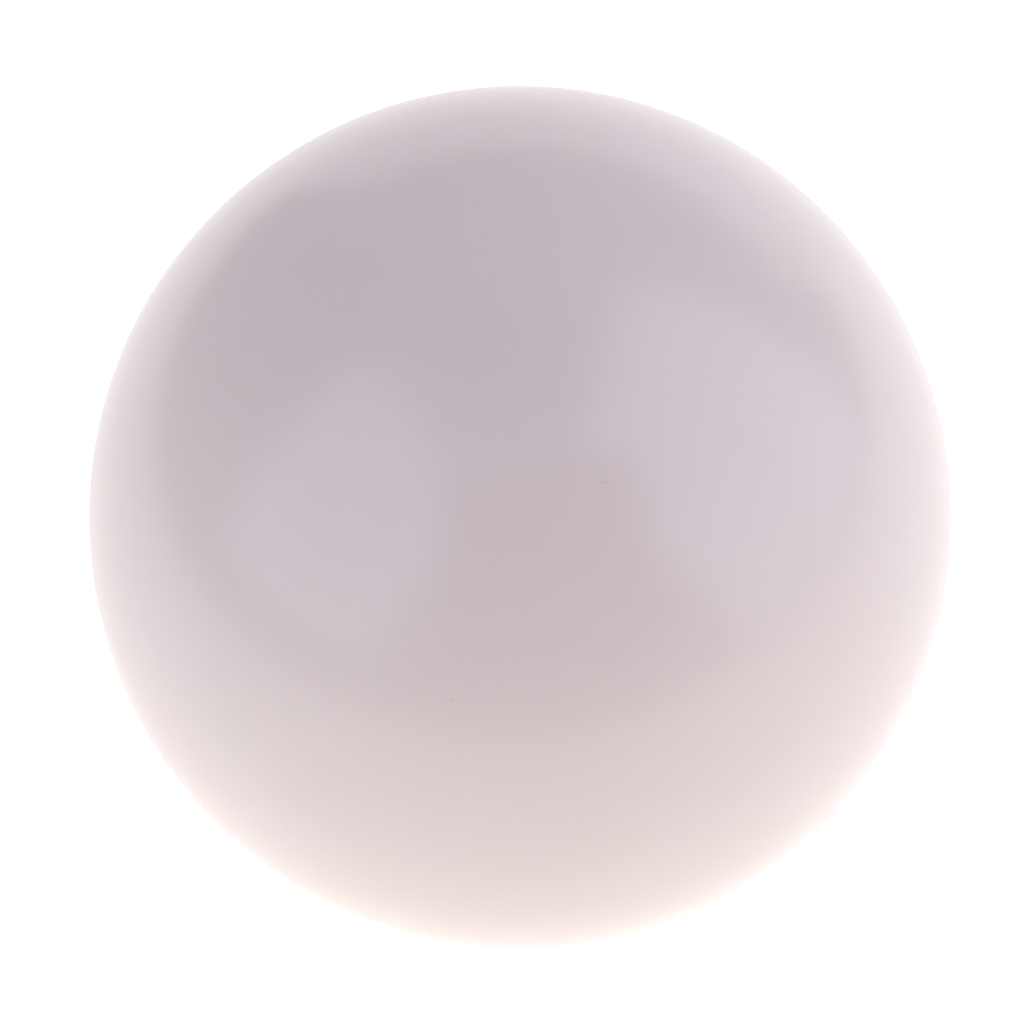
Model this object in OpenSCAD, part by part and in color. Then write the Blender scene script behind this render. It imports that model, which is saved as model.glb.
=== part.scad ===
// Cue ball
//
// The plain white ball that the cue strikes. It is cast in resin as one solid piece, ground
// round and polished. It has no core, shell, inlay, seam, mark or hole, and nothing on it
// moves.
//
// The origin is the centre of the ball, with +Z up. The ball touches the table at one point,
// straight below the origin.

/* [Ball] */

// Diameter of the finished ball
ball_d = 57.15; // [45:0.05:70]

/* [Hidden] */

// Colour of the cast resin
resin_white = "#EBE3DC";

// Sides of the ball in the preview: any count above 12 is rebuilt as a true sphere
preview_sides = 192;

// The whole ball, one solid round its centre
module cue_ball() {
    color(resin_white)
        sphere(d = ball_d, $fn = preview_sides);
}

cue_ball();
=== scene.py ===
"""A plain white cue ball on a lit white table sheet, between two softboxes.

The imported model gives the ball's size and place. The ball is one solid piece of cast resin, so
it is the only piece of the object here. Everything else is the studio round it.

Lengths are in metres, unless a name ends in _mm. A direction is an azimuth and an elevation in
degrees, seen from the middle of the ball: azimuth 0 is the camera's side, azimuth 90 is the
right-hand side, and elevation is measured up from the horizon.
"""

import logging
import math
import random
from dataclasses import dataclass, field
from enum import Enum
from typing import Any, Optional

import bpy
import numpy as np
from mathutils import Matrix, Vector


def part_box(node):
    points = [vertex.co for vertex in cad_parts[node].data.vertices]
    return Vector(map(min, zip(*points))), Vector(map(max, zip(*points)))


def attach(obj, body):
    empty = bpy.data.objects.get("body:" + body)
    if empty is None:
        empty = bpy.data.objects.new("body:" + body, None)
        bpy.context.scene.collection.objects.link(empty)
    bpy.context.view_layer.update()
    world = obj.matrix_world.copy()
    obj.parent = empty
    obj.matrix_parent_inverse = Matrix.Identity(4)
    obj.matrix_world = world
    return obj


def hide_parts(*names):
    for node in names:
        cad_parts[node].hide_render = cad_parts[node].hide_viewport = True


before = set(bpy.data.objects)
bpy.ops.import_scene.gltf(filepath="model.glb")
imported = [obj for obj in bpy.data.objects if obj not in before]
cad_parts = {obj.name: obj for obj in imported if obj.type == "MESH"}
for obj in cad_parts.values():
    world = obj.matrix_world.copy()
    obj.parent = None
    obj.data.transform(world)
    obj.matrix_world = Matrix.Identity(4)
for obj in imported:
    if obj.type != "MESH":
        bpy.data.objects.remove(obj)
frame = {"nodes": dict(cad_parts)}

LOG = logging.getLogger("cue_ball_scene")
MM = 0.001


def linear(hex_colour: str) -> tuple[float, float, float, float]:
    """Turns an sRGB hex colour to linear light.

    Args:
        hex_colour: Six hex digits after a hash, such as "#F4EFE9".

    Returns:
        Red, green, blue and an alpha of one, each from 0 to 1.
    """
    parts = [int(hex_colour[place:place + 2], 16) / 255 for place in (1, 3, 5)]
    lit = [p / 12.92 if p <= 0.04045 else ((p + 0.055) / 1.055) ** 2.4 for p in parts]
    return lit[0], lit[1], lit[2], 1.0


def direction(azimuth: float, elevation: float) -> Vector:
    """Gives the unit vector from the ball to a place round it.

    Args:
        azimuth: Degrees round the ball, 0 at the camera's side and 90 at the right.
        elevation: Degrees above the horizon.

    Returns:
        The unit vector in the row frame.
    """
    turn, rise = math.radians(azimuth), math.radians(elevation)
    level = math.cos(rise)
    return Vector((math.sin(turn) * level, -math.cos(turn) * level, math.sin(rise)))


def socket(sockets: Any, name: str | int) -> bpy.types.NodeSocket:
    """Finds a node's socket.

    Args:
        sockets: The inputs or the outputs of a node.
        name: The socket's name, or its number where several in use share one name.

    Returns:
        The socket, and the one in use where others of that name are switched off.
    """
    if isinstance(name, int):
        return sockets[name]
    return next(one for one in sockets if one.name == name and one.enabled)


def add_node(
    tree: bpy.types.NodeTree,
    kind: str,
    settings: Optional[dict[str | int, Any]] = None,
    links: Optional[dict[str | int, bpy.types.NodeSocket]] = None,
) -> bpy.types.Node:
    """Adds a node with its settings and its incoming links.

    Args:
        tree: The tree that takes the node.
        kind: Blender's own name for the kind of node.
        settings: Values by the name of the node's property or input, or by the input's number.
        links: The output that feeds each input, by the input's name or number.

    Returns:
        The new node.
    """
    made = tree.nodes.new(kind)
    for name, value in (settings or {}).items():
        if isinstance(name, str) and hasattr(made, name):
            setattr(made, name, value)
        else:
            socket(made.inputs, name).default_value = value
    for name, source in (links or {}).items():
        tree.links.new(source, socket(made.inputs, name))
    return made


def empty_tree(owner: bpy.types.Material | bpy.types.World) -> bpy.types.NodeTree:
    """Switches a material or a world to nodes and gives its emptied tree."""
    owner.use_nodes = True
    owner.node_tree.nodes.clear()
    return owner.node_tree


def add_mesh(name: str, points: np.ndarray, faces: np.ndarray) -> bpy.types.Object:
    """Adds a smooth mesh to the scene.

    Args:
        name: Name of the object and of its mesh.
        points: One row for each vertex.
        faces: One row of vertex numbers for each face, anticlockwise seen from outside.

    Returns:
        The new object, at the origin.
    """
    mesh = bpy.data.meshes.new(name)
    mesh.from_pydata(points.tolist(), [], faces.tolist())
    mesh.shade_smooth()
    made = bpy.data.objects.new(name, mesh)
    bpy.context.scene.collection.objects.link(made)
    return made


# ------------------------------------------------------------------------------ the ball


@dataclass(frozen=True)
class PolishedCastResin:
    """Phenolic resin, cast as one ball, ground round and polished in a drum.

    The eye gets a warm white body that light enters a little, under a hard clear gloss. Play
    has hazed the gloss slightly, so what it mirrors has soft edges.

    Attributes:
        body: Colour of the resin.
        cloud: Colour of the faint clouds where the resin mixed less evenly.
        dirt: Colour of the dirt that settles in a flaw.
        cloud_mm: Size of a cloud.
        haze_mm: Size of a patch of haze in the polish.
        ripple_mm: Pitch of the waves that grinding left. The real pitch is a few tenths of a
            millimetre, and it is drawn coarser so that it can show at all.
        ripple_height_mm: Height of those waves.
        roughness: Roughness of the clearest and of the most hazed polish.
        ior: Refractive index of cast phenolic resin.
        scatter: Share of the light that spreads inside the resin before it comes out.
        scatter_mm: How far that light spreads, red furthest.
    """

    body: str = "#EBE3DC"
    cloud: str = "#E8DFD7"
    dirt: str = "#E3D8D1"
    cloud_mm: float = 9.0
    haze_mm: float = 5.0
    ripple_mm: float = 1.6
    ripple_height_mm: float = 0.0006
    roughness: tuple[float, float] = (0.20, 0.26)
    ior: float = 1.6
    scatter: float = 0.15
    scatter_mm: tuple[float, float, float] = (0.9, 0.7, 0.5)

    def material(self) -> bpy.types.Material:
        """Makes the resin's material."""
        made = bpy.data.materials.new("polished_cast_phenolic_resin")
        tree = empty_tree(made)
        place = add_node(tree, "ShaderNodeTexCoord").outputs["Object"]
        clouds = add_node(
            tree,
            "ShaderNodeTexNoise",
            {"Scale": 1 / (self.cloud_mm * MM), "Detail": 3.0, "Distortion": 0.6},
            {"Vector": place},
        )
        resin = add_node(
            tree,
            "ShaderNodeMix",
            {"data_type": "RGBA", "A": linear(self.body), "B": linear(self.cloud)},
            {"Factor": clouds.outputs["Fac"]},
        )
        dirt = add_node(tree, "ShaderNodeAttribute", {"attribute_name": CueBall.DIRT})
        colour = add_node(
            tree,
            "ShaderNodeMix",
            {"data_type": "RGBA", "B": linear(self.dirt)},
            {"Factor": dirt.outputs["Fac"], "A": socket(resin.outputs, "Result")},
        )
        haze = add_node(
            tree,
            "ShaderNodeTexNoise",
            {"Scale": 1 / (self.haze_mm * MM), "Detail": 4.0},
            {"Vector": place},
        )
        roughness = add_node(
            tree,
            "ShaderNodeMapRange",
            {"To Min": self.roughness[0], "To Max": self.roughness[1]},
            {"Value": haze.outputs["Fac"]},
        )
        ripple = add_node(
            tree,
            "ShaderNodeTexNoise",
            {"Scale": 1 / (self.ripple_mm * MM), "Detail": 1.0},
            {"Vector": place},
        )
        bump = add_node(
            tree,
            "ShaderNodeBump",
            {"Strength": 1.0, "Distance": self.ripple_height_mm * MM},
            {"Height": ripple.outputs["Fac"]},
        )
        shader = add_node(
            tree,
            "ShaderNodeBsdfPrincipled",
            {
                "IOR": self.ior,
                "Subsurface Weight": self.scatter,
                "Subsurface Radius": self.scatter_mm,
                "Subsurface Scale": MM,
            },
            {
                "Base Color": socket(colour.outputs, "Result"),
                "Roughness": roughness.outputs["Result"],
                "Normal": bump.outputs["Normal"],
            },
        )
        add_node(tree, "ShaderNodeOutputMaterial", links={"Surface": shader.outputs["BSDF"]})
        return made


class FlawKind(Enum):
    """The small flaws that a polished casting shows."""

    PINHOLE = "a bubble in the casting that the grinding opened"
    NICK = "a short dent from a knock"


@dataclass(frozen=True)
class Flaw:
    """One small flaw in the polish.

    Attributes:
        kind: What sort of flaw it is.
        azimuth: Where it is round the ball.
        elevation: Where it is above the ball's middle.
        width_mm: Width across it.
        length_mm: Length of a nick. A pinhole has none.
        slant: Angle in degrees at which a nick runs down to the right.
    """

    kind: FlawKind
    azimuth: float
    elevation: float
    width_mm: float
    length_mm: float = 0.0
    slant: float = 0.0

    # Depths, as shares of the width.
    PINHOLE_DEPTH = 0.12
    NICK_DEPTH = 0.018

    @property
    def depth(self) -> float:
        """Depth of the flaw. A pinhole is deeper for its width than a nick."""
        share = self.PINHOLE_DEPTH if self.kind is FlawKind.PINHOLE else self.NICK_DEPTH
        return self.width_mm * MM * share

    def pits(self, radius: float) -> list[Vector]:
        """Gives the directions of the pits that make the flaw.

        Args:
            radius: Radius of the ball.

        Returns:
            One direction for a pinhole, and a close row of them for a nick.
        """
        count = 1 + round(self.length_mm / (self.width_mm / 2))
        shares = [0.0] if count == 1 else np.linspace(-0.5, 0.5, count).tolist()
        length = math.degrees(self.length_mm * MM / radius)
        slant = math.radians(self.slant)
        turn = length * math.cos(slant) / math.cos(math.radians(self.elevation))
        drop = length * math.sin(slant)
        return [
            direction(self.azimuth + turn * share, self.elevation - drop * share)
            for share in shares
        ]


@dataclass
class CueBall:
    """The ball, as one closed skin of four-sided cells with its flaws cut in.

    Attributes:
        node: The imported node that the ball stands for.
        cells: Cells along each edge of the six patches that cover the ball.
        reach_mm: How far round a flaw the cells are drawn in towards it.
        draw_in: Size of the cells in the middle of a flaw, as a share of their usual size.
        known_flaws: The flaws on the side towards the camera.
        far_flaws: How many pinholes there are on the rest of the ball.
        far_azimuths: Azimuths between which those lie.
        far_elevations: Elevations between which those lie.
        far_widths_mm: Widths between which those are.
        seed: Seed for the places and widths of those.
        finish: The resin.
    """

    # Name of the mesh's own value that says how dirty each vertex is.
    DIRT = "dirt"
    # How quickly dirt fills in from a flaw's rim: it is full from half of the flaw's depth down.
    DIRT_SPREAD = 2.0
    # Angle under which a vertex lies at a flaw's very middle and has no direction to move in.
    NO_ANGLE = 1e-9

    node: str = "cue_ball"
    cells: int = 124
    reach_mm: float = 4.5
    draw_in: float = 0.08
    known_flaws: tuple[Flaw, ...] = (
        Flaw(FlawKind.PINHOLE, -0.5, 32.0, 0.15),
        Flaw(FlawKind.PINHOLE, -9.5, 26.0, 0.20),
        Flaw(FlawKind.PINHOLE, 16.5, 22.5, 0.14),
        Flaw(FlawKind.PINHOLE, 30.0, 30.5, 0.14),
        Flaw(FlawKind.PINHOLE, 62.5, 15.5, 0.16),
        Flaw(FlawKind.NICK, 17.5, 53.0, 0.14, length_mm=0.50, slant=14.0),
    )
    far_flaws: int = 9
    far_azimuths: tuple[float, float] = (80.0, 280.0)
    far_elevations: tuple[float, float] = (-50.0, 60.0)
    far_widths_mm: tuple[float, float] = (0.14, 0.22)
    seed: int = 8
    finish: PolishedCastResin = field(default_factory=PolishedCastResin)

    def __post_init__(self) -> None:
        """Takes the ball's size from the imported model, which has its origin in the ball's middle."""
        self.centre = Vector()
        self.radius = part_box(self.node)[1][2]

    def flaws(self) -> list[Flaw]:
        """Lists the known flaws, and the seeded ones on the rest of the ball."""
        draw = random.Random(self.seed)
        far = [
            Flaw(
                FlawKind.PINHOLE,
                draw.uniform(*self.far_azimuths),
                draw.uniform(*self.far_elevations),
                draw.uniform(*self.far_widths_mm),
            )
            for _ in range(self.far_flaws)
        ]
        return [*self.known_flaws, *far]

    def skin(self) -> tuple[np.ndarray, np.ndarray]:
        """Lays a cube's grid over the ball, at equal angles.

        Returns:
            The unit direction of each vertex, and the vertex numbers of each cell.
        """
        row = self.cells + 1
        across, along = (grid.ravel() for grid in np.mgrid[0:row, 0:row])
        first = np.flatnonzero((across < self.cells) & (along < self.cells))
        corners = np.stack([first, first + row, first + row + 1, first + 1], axis=1)
        places, cells = [], []
        for axis in range(3):
            for side in (0, self.cells):
                patch = np.empty((row * row, 3), dtype=int)
                patch[:, axis] = side
                patch[:, (axis + 1) % 3] = across
                patch[:, (axis + 2) % 3] = along
                cells.append(len(places) * row * row + (corners if side else corners[:, ::-1]))
                places.append(patch)
        unique, number = np.unique(np.concatenate(places), axis=0, return_inverse=True)
        points = np.tan((unique / self.cells - 0.5) * math.pi / 2)
        points /= np.linalg.norm(points, axis=1, keepdims=True)
        return points, number.ravel()[np.concatenate(cells)]

    def drawn_in(self, points: np.ndarray, middle: np.ndarray) -> np.ndarray:
        """Draws the cells round a flaw in towards it, so that they can hold its shape.

        Args:
            points: Unit direction of each vertex.
            middle: Unit direction of the flaw.

        Returns:
            The new unit directions. Those beyond the reach are unchanged.
        """
        reach = self.reach_mm * MM / self.radius
        angle = np.arccos(np.clip(points @ middle, -1.0, 1.0))
        near = (angle < reach) & (angle > self.NO_ANGLE)
        share = angle[near] / reach
        turned = angle[near] * (1 - (1 - self.draw_in) * (1 - share**2) ** 2)
        sideways = points[near] - np.cos(angle[near])[:, None] * middle
        sideways /= np.linalg.norm(sideways, axis=1, keepdims=True)
        moved = points.copy()
        moved[near] = np.cos(turned)[:, None] * middle + np.sin(turned)[:, None] * sideways
        return moved

    def build(self) -> bpy.types.Object:
        """Builds the ball's mesh with its flaws and gives it its finish.

        Returns:
            The finished ball.
        """
        points, cells = self.skin()
        flaws = self.flaws()
        for flaw in flaws:
            points = self.drawn_in(points, np.array(direction(flaw.azimuth, flaw.elevation)))
        depth = np.zeros(len(points))
        dirt = np.zeros(len(points))
        for flaw in flaws:
            edge = flaw.width_mm * MM / 2 / self.radius
            for pit in flaw.pits(self.radius):
                angle = np.arccos(np.clip(points @ np.array(pit), -1.0, 1.0))
                bowl = np.clip(1 - (angle / edge) ** 2, 0.0, 1.0)
                depth = np.maximum(depth, flaw.depth * bowl)
                dirt = np.maximum(dirt, np.clip(self.DIRT_SPREAD * bowl, 0.0, 1.0))
        places = points * (self.radius - depth)[:, None] + np.array(self.centre)
        ball = add_mesh("ball", places, cells)
        mask = ball.data.attributes.new(self.DIRT, "FLOAT", "POINT")
        mask.data.foreach_set("value", dirt.astype(np.float32))
        ball.data.materials.append(self.finish.material())
        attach(ball, "root")
        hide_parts(self.node)
        LOG.info("%s: %.2f mm across, %d flaws", ball.name, 2 * self.radius / MM, len(flaws))
        return ball


# ---------------------------------------------------------------------------- the studio


@dataclass(frozen=True)
class Glow:
    """Light that a surface gives off.

    Attributes:
        tint: Colour of the light, with its strongest part at full.
        strength: How bright that part is, where 1 shows as full white.
    """

    tint: str
    strength: float


@dataclass(frozen=True)
class DiffusionCloth:
    """White nylon across the front of a softbox, lit from behind.

    The eye gets a bright even patch that fades over its last stretch, where less of the lamp
    reaches the cloth.

    Attributes:
        glow: Light of the cloth.
        fade: Width of the fading edge, as a share of the cloth's width or height.
    """

    glow: Glow
    fade: float

    def material(self, name: str) -> bpy.types.Material:
        """Makes the cloth's material.

        Args:
            name: Name of the material.

        Returns:
            The material.
        """
        made = bpy.data.materials.new(name)
        tree = empty_tree(made)
        place = add_node(tree, "ShaderNodeTexCoord").outputs["Generated"]
        parts = add_node(tree, "ShaderNodeSeparateXYZ", links={"Vector": place})
        fades = []
        for axis in ("X", "Y"):
            inward = add_node(
                tree,
                "ShaderNodeMath",
                {"operation": "PINGPONG", 1: 0.5},
                {0: parts.outputs[axis]},
            )
            fade = add_node(
                tree,
                "ShaderNodeMapRange",
                {"interpolation_type": "SMOOTHSTEP", "From Max": self.fade},
                {"Value": inward.outputs["Value"]},
            )
            fades.append(fade.outputs["Result"])
        share = add_node(
            tree, "ShaderNodeMath", {"operation": "MULTIPLY"}, {0: fades[0], 1: fades[1]}
        )
        strength = add_node(
            tree,
            "ShaderNodeMath",
            {"operation": "MULTIPLY", 1: self.glow.strength},
            {0: share.outputs["Value"]},
        )
        light = add_node(
            tree,
            "ShaderNodeEmission",
            {"Color": linear(self.glow.tint)},
            {"Strength": strength.outputs["Value"]},
        )
        add_node(tree, "ShaderNodeOutputMaterial", links={"Surface": light.outputs["Emission"]})
        return made


@dataclass(frozen=True)
class OpalAcrylic:
    """Opal acrylic sheet of a product table, with lamps under it.

    The eye gets an even white glow with no edge and next to no shadow. A mask under the ball
    keeps the light off its very bottom, which leaves a small soft shadow there.

    Attributes:
        glow: Light that comes through the sheet.
        surface: Colour of the sheet's satin top.
        mask: Radii between which the light under the ball comes up to its full strength.
    """

    glow: Glow
    surface: str = "#C8C8C8"
    mask: tuple[float, float] = (0.001, 0.014)

    def material(self, name: str) -> bpy.types.Material:
        """Makes the sheet's material.

        Args:
            name: Name of the material.

        Returns:
            The material.
        """
        made = bpy.data.materials.new(name)
        tree = empty_tree(made)
        place = add_node(tree, "ShaderNodeTexCoord").outputs["Object"]
        level = add_node(
            tree,
            "ShaderNodeVectorMath",
            {"operation": "MULTIPLY", 1: (1.0, 1.0, 0.0)},
            {0: place},
        )
        outward = add_node(
            tree,
            "ShaderNodeVectorMath",
            {"operation": "LENGTH"},
            {0: level.outputs["Vector"]},
        )
        strength = add_node(
            tree,
            "ShaderNodeMapRange",
            {
                "interpolation_type": "SMOOTHSTEP",
                "From Min": self.mask[0],
                "From Max": self.mask[1],
                "To Max": self.glow.strength,
            },
            {"Value": outward.outputs["Value"]},
        )
        light = add_node(
            tree,
            "ShaderNodeEmission",
            {"Color": linear(self.glow.tint)},
            {"Strength": strength.outputs["Result"]},
        )
        surface = add_node(tree, "ShaderNodeBsdfDiffuse", {"Color": linear(self.surface)})
        both = add_node(
            tree,
            "ShaderNodeAddShader",
            links={0: light.outputs["Emission"], 1: surface.outputs["BSDF"]},
        )
        add_node(tree, "ShaderNodeOutputMaterial", links={"Surface": both.outputs["Shader"]})
        return made


class Seen(Enum):
    """What sees a piece of the studio."""

    BY_ALL = "the camera and the ball"
    BY_BALL = "the ball alone, so that the piece never hides the ball from a camera"


def place_in_studio(
    piece: bpy.types.Object, material: bpy.types.Material, seen: Seen
) -> bpy.types.Object:
    """Finishes a piece of the studio.

    Args:
        piece: The piece.
        material: Its material.
        seen: What sees it.

    Returns:
        The same piece.
    """
    piece.data.materials.append(material)
    piece.visible_camera = seen is Seen.BY_ALL
    LOG.info("studio piece %s, seen by %s", piece.name, seen.value)
    return piece


@dataclass(frozen=True)
class ProductTable:
    """The sheet that the ball stands on, flat at the front and curving up behind.

    Attributes:
        left: Distance from the ball to the sheet's left edge.
        right: Distance to its right edge.
        front: Distance to its front edge.
        back: Distance to where it starts to curve up.
        curve: Radius of the curve.
        rise: Height of the upright stretch above the curve.
        bed: Finish of the flat stretch.
        upright: Finish of the stretch behind.
    """

    left: float = 0.21
    right: float = 0.44
    front: float = 0.29
    back: float = 0.36
    curve: float = 0.05
    rise: float = 0.13
    bed: OpalAcrylic = OpalAcrylic(Glow("#FFF7EE", 0.86))
    upright: OpalAcrylic = OpalAcrylic(Glow("#F9FFF7", 0.59))

    CURVE_STEPS = 24

    def strip(self, name: str, path: list[tuple[float, float]], height: float) -> bpy.types.Object:
        """Sweeps a path across the sheet's width.

        Args:
            name: Name of the strip.
            path: Depth and height of each fold line, from front to back.
            height: Height of the table's top.

        Returns:
            The strip, with its upper side out.
        """
        points = [(x, y, height + z) for y, z in path for x in (-self.left, self.right)]
        faces = [(2 * n, 2 * n + 1, 2 * n + 3, 2 * n + 2) for n in range(len(path) - 1)]
        return add_mesh(name, np.array(points), np.array(faces))

    def build(self, height: float) -> None:
        """Builds the flat bed and the upright behind it.

        Args:
            height: Height of the table's top, where the ball touches it.
        """
        bed = self.strip("table_bed", [(-self.front, 0.0), (self.back, 0.0)], height)
        place_in_studio(bed, self.bed.material("opal_acrylic_bed"), Seen.BY_ALL)
        turns = np.linspace(0.0, math.pi / 2, self.CURVE_STEPS)
        curve = [
            (self.back + self.curve * math.sin(turn), self.curve * (1 - math.cos(turn)))
            for turn in turns
        ]
        top = (self.back + self.curve, self.curve + self.rise)
        upright = self.strip("table_upright", [*curve, top], height)
        place_in_studio(upright, self.upright.material("opal_acrylic_upright"), Seen.BY_BALL)


@dataclass(frozen=True)
class Panel:
    """A flat panel that faces the ball.

    Attributes:
        name: Name of the panel.
        azimuth: Direction of its middle round the ball.
        elevation: Direction of its middle above the horizon.
        distance: How far its middle is from the ball's.
        width: Width of the panel.
        height: Height of the panel.
        finish: Its cloth.
        tilt: Elevation that it faces away from, which is its own where it faces the ball.
    """

    name: str
    azimuth: float
    elevation: float
    distance: float
    width: float
    height: float
    finish: DiffusionCloth
    tilt: Optional[float] = None

    def build(self, centre: Vector) -> None:
        """Builds the panel.

        Args:
            centre: Middle of the ball.
        """
        sides = np.array([(-0.5, -0.5), (0.5, -0.5), (0.5, 0.5), (-0.5, 0.5)])
        flat = np.zeros((4, 3))
        flat[:, :2] = sides * (self.width, self.height)
        panel = add_mesh(self.name, flat, np.array([(0, 1, 2, 3)]))
        tilt = self.elevation if self.tilt is None else self.tilt
        away = direction(self.azimuth, tilt)
        panel.matrix_world = Matrix.Translation(
            centre + direction(self.azimuth, self.elevation) * self.distance
        ) @ away.to_track_quat("-Z", "Y").to_matrix().to_4x4()
        place_in_studio(panel, self.finish.material(f"{self.name}_cloth"), Seen.BY_BALL)


@dataclass(frozen=True)
class Room:
    """The dim room round the table, which the ball mirrors between the lamps.

    A camera sees plain white behind the ball instead, in whichever direction it looks.

    Attributes:
        walls: Colour of the unlit walls.
        ceiling: Colour of the ceiling.
        edge: Heights, as the sine of an elevation, between which walls turn to ceiling.
    """

    walls: str = "#B2A8AE"
    ceiling: str = "#6E5E9A"
    edge: tuple[float, float] = (0.85, 1.05)

    def build(self) -> None:
        """Makes the world."""
        world = bpy.data.worlds.new("studio_room")
        bpy.context.scene.world = world
        tree = empty_tree(world)
        ray = add_node(tree, "ShaderNodeTexCoord").outputs["Generated"]
        parts = add_node(tree, "ShaderNodeSeparateXYZ", links={"Vector": ray})
        upward = add_node(
            tree,
            "ShaderNodeMapRange",
            {
                "interpolation_type": "SMOOTHSTEP",
                "From Min": self.edge[0],
                "From Max": self.edge[1],
            },
            {"Value": parts.outputs["Z"]},
        )
        colour = add_node(
            tree,
            "ShaderNodeMix",
            {"data_type": "RGBA", "A": linear(self.walls), "B": linear(self.ceiling)},
            {"Factor": upward.outputs["Result"]},
        )
        room = add_node(
            tree, "ShaderNodeBackground", links={"Color": socket(colour.outputs, "Result")}
        )
        white = add_node(tree, "ShaderNodeBackground", {"Color": linear("#FFFFFF")})
        path = add_node(tree, "ShaderNodeLightPath")
        shown = add_node(
            tree,
            "ShaderNodeMixShader",
            links={
                "Fac": path.outputs["Is Camera Ray"],
                1: room.outputs["Background"],
                2: white.outputs["Background"],
            },
        )
        add_node(tree, "ShaderNodeOutputWorld", links={"Surface": shown.outputs["Shader"]})
        LOG.info("room round the table")


@dataclass(frozen=True)
class Camera:
    """A camera with a long lens, looking down at the ball.

    Attributes:
        elevation: Height of the camera above the horizon, in degrees.
        distance: Distance from the ball's middle to the lens.
        lens_mm: Focal length.
        sensor_mm: Width of the square sensor.
        shift: How far the ball is off the picture's middle, right and down, as shares of the
            picture's width.
        nearest: Distance within which the camera sees nothing.
    """

    elevation: float = 50.0
    distance: float = 0.3783
    lens_mm: float = 200.0
    sensor_mm: float = 36.0
    shift: tuple[float, float] = (0.0078, 0.0047)
    nearest: float = 0.01

    def build(self, centre: Vector) -> None:
        """Makes the camera and gives it to the scene.

        Args:
            centre: Middle of the ball, which the camera looks at.
        """
        data = bpy.data.cameras.new("camera")
        data.lens = self.lens_mm
        data.sensor_width = self.sensor_mm
        data.shift_x = -self.shift[0]
        data.shift_y = self.shift[1]
        data.clip_start = self.nearest
        made = bpy.data.objects.new("camera", data)
        back = direction(0.0, self.elevation)
        made.location = centre + back * self.distance
        made.rotation_mode = "QUATERNION"
        made.rotation_quaternion = (-back).to_track_quat("-Z", "Y")
        bpy.context.scene.collection.objects.link(made)
        bpy.context.scene.camera = made
        LOG.info("camera %.0f degrees above the table", self.elevation)


@dataclass(frozen=True)
class Studio:
    """Everything round the ball.

    Attributes:
        table: The lit table under it.
        panels: The softbox on each side, and a weak warm panel on the camera's side.
        room: The dim room.
        camera: The camera.
    """

    table: ProductTable = ProductTable()
    panels: tuple[Panel, ...] = (
        Panel(
            name="softbox_left",
            azimuth=-59.0,
            elevation=32.0,
            distance=0.75,
            width=0.85,
            height=0.96,
            finish=DiffusionCloth(Glow("#E1E8FF", 1.60), fade=0.09),
        ),
        Panel(
            name="softbox_right",
            azimuth=82.0,
            elevation=33.0,
            distance=0.75,
            width=1.20,
            height=1.30,
            finish=DiffusionCloth(Glow("#E7EAFF", 1.64), fade=0.15),
            tilt=38.0,
        ),
        Panel(
            name="camera_side",
            azimuth=10.0,
            elevation=38.0,
            distance=0.60,
            width=0.60,
            height=0.60,
            finish=DiffusionCloth(Glow("#FFBB74", 0.35), fade=0.15),
        ),
    )
    room: Room = Room()
    camera: Camera = Camera()

    def build(self, centre: Vector, radius: float) -> None:
        """Builds the studio round the ball.

        Args:
            centre: Middle of the ball.
            radius: Radius of the ball.
        """
        bpy.context.scene.view_settings.view_transform = "Standard"
        self.camera.build(centre)
        self.room.build()
        self.table.build(centre.z - radius)
        for panel in self.panels:
            panel.build(centre)


def main() -> None:
    """Builds the ball, then the studio round it."""
    logging.basicConfig(level=logging.INFO, format="%(name)s: %(message)s")
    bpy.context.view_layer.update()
    LOG.info("packed nodes: %s", ", ".join(frame["nodes"]))
    ball = CueBall()
    ball.build()
    Studio().build(ball.centre, ball.radius)


if __name__ == "__main__":
    main()
